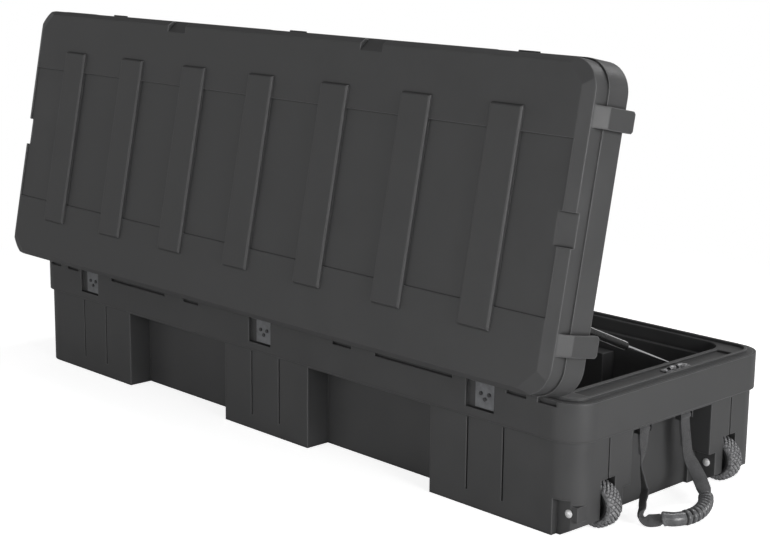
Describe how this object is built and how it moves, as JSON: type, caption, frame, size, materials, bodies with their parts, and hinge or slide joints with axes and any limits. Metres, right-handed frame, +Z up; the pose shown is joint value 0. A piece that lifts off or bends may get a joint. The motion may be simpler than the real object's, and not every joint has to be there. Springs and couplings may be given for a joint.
{
  "type": "expedition box",
  "caption": "Long moulded plastic storage trunk with a ribbed lid propped open on gas struts, front latches, end wheels and webbing strap handles.",
  "frame": {"origin": "on the floor, under the middle of the tub", "axes": "+X towards the wheels, +Y towards the latches, +Z up"},
  "size_m": [1.6902, 0.6135, 0.7626],
  "materials": {
    "shell_plastic": "fine moulded texture, charcoal",
    "liner_plastic": "fine moulded texture, near black",
    "trim_plastic": "satin black",
    "seal_rubber": "soft black sponge rubber",
    "grip_rubber": "satin dark grey rubber",
    "tyre_rubber": "matt grey rubber",
    "hinge_steel": "satin grey coating",
    "zinc_steel": "zinc plated",
    "bright_alloy": "cast and tumbled",
    "strut_black": "gloss black",
    "strut_chrome": "polished",
    "bush_brass": "plain",
    "webbing": "woven polypropylene"
  },
  "bodies": {
    "tub": {"tub_shell": "shell_plastic", "tub_liner": "liner_plastic", "hinge_tub_leaf_left": "hinge_steel", "hinge_tub_leaf_mid": "hinge_steel", "hinge_tub_leaf_right": "hinge_steel", "hinge_pin_left": "zinc_steel", "hinge_pin_mid": "zinc_steel", "hinge_pin_right": "zinc_steel", "hinge_tub_screws": "zinc_steel", "latch_bracket_left": "trim_plastic", "latch_bracket_mid": "trim_plastic", "latch_bracket_right": "trim_plastic", "latch_pin_left": "zinc_steel", "latch_pin_mid": "zinc_steel", "latch_pin_right": "zinc_steel", "latch_screws": "zinc_steel", "strut_tub_stud_left": "zinc_steel", "strut_tub_stud_right": "zinc_steel", "axle_bolt_back": "zinc_steel", "axle_bolt_front": "zinc_steel", "axle_washers": "zinc_steel", "axle_nuts": "zinc_steel", "handle_anchors_left": "zinc_steel", "handle_anchors_right": "zinc_steel", "anchor_screws": "zinc_steel", "opener_plate": "bright_alloy", "opener_screws": "zinc_steel", "drain_tube": "trim_plastic", "drain_plug": "trim_plastic"},
    "lid": {"lid_shell": "shell_plastic", "lid_pan": "liner_plastic", "lid_gasket": "seal_rubber", "hinge_lid_leaf_left": "hinge_steel", "hinge_lid_leaf_mid": "hinge_steel", "hinge_lid_leaf_right": "hinge_steel", "hinge_lid_screws": "zinc_steel", "latch_keeper_left": "trim_plastic", "latch_keeper_mid": "trim_plastic", "latch_keeper_right": "trim_plastic", "keeper_screws": "zinc_steel", "strut_lid_stud_left": "zinc_steel", "strut_lid_stud_right": "zinc_steel"},
    "latch_left": {"latch_lever_left": "trim_plastic"},
    "latch_mid": {"latch_lever_mid": "trim_plastic"},
    "latch_right": {"latch_lever_right": "trim_plastic"},
    "strut_tube_left": {"strut_cylinder_left": "strut_black"},
    "strut_piston_left": {"strut_rod_left": "strut_chrome"},
    "strut_tube_right": {"strut_cylinder_right": "strut_black"},
    "strut_piston_right": {"strut_rod_right": "strut_chrome"},
    "wheel_back": {"wheel_tyre_back": "tyre_rubber", "wheel_hub_back": "trim_plastic", "wheel_bush_back": "bush_brass"},
    "wheel_front": {"wheel_tyre_front": "tyre_rubber", "wheel_hub_front": "trim_plastic", "wheel_bush_front": "bush_brass"},
    "handle_left": {"handle_strap_left": "webbing", "handle_grip_left": "grip_rubber"},
    "handle_right": {"handle_strap_right": "webbing", "handle_grip_right": "grip_rubber"}
  },
  "joints": [
    {"name": "lid_hinge", "type": "hinge", "parent": "tub", "child": "lid", "pos_m": [0, -0.268, 0.23], "axis": [1, 0, 0], "range_deg": [-79, 0], "stiffness_Nm_per_rad": 10, "springref_deg": 28.65},
    {"name": "latch_swing_left", "type": "hinge", "parent": "tub", "child": "latch_left", "pos_m": [-0.563, 0.264, 0.196], "axis": [1, 0, 0], "range_deg": [0, 180]},
    {"name": "latch_swing_mid", "type": "hinge", "parent": "tub", "child": "latch_mid", "pos_m": [0, 0.264, 0.196], "axis": [1, 0, 0], "range_deg": [0, 180]},
    {"name": "latch_swing_right", "type": "hinge", "parent": "tub", "child": "latch_right", "pos_m": [0.563, 0.264, 0.196], "axis": [1, 0, 0], "range_deg": [0, 180]},
    {"name": "strut_turn_left", "type": "hinge", "parent": "lid", "child": "strut_tube_left", "pos_m": [-0.672, -0.26422, 0.36475], "axis": [1, 0, 0], "range_deg": [0, 89.4]},
    {"name": "strut_stroke_left", "type": "slide", "parent": "strut_tube_left", "child": "strut_piston_left", "axis": [0, 0.9203, -0.3912], "range_m": [-0.1584, 0]},
    {"name": "strut_turn_right", "type": "hinge", "parent": "lid", "child": "strut_tube_right", "pos_m": [0.672, -0.26422, 0.36475], "axis": [1, 0, 0], "range_deg": [0, 89.4]},
    {"name": "strut_stroke_right", "type": "slide", "parent": "strut_tube_right", "child": "strut_piston_right", "axis": [0, 0.9203, -0.3912], "range_m": [-0.1584, 0]},
    {"name": "wheel_spin_back", "type": "hinge", "parent": "tub", "child": "wheel_back", "pos_m": [0.735, -0.17, 0.0403], "axis": [0, 1, 0], "continuous": true},
    {"name": "wheel_spin_front", "type": "hinge", "parent": "tub", "child": "wheel_front", "pos_m": [0.735, 0.17, 0.0403], "axis": [0, 1, 0], "continuous": true},
    {"name": "handle_swing_left", "type": "hinge", "parent": "tub", "child": "handle_left", "pos_m": [-0.738, 0, 0.143], "axis": [0, 1, 0], "range_deg": [0, 110]},
    {"name": "handle_swing_right", "type": "hinge", "parent": "tub", "child": "handle_right", "pos_m": [0.738, 0, 0.143], "axis": [0, -1, 0], "range_deg": [0, 110]}
  ],
  "couplings": [
    {"joint": "strut_turn_left", "follows": "lid_hinge", "ratio": -1.131},
    {"joint": "strut_stroke_left", "follows": "lid_hinge", "m_per_rad": 0.11474},
    {"joint": "strut_turn_right", "follows": "lid_hinge", "ratio": -1.131},
    {"joint": "strut_stroke_right", "follows": "lid_hinge", "m_per_rad": 0.11474}
  ]
}
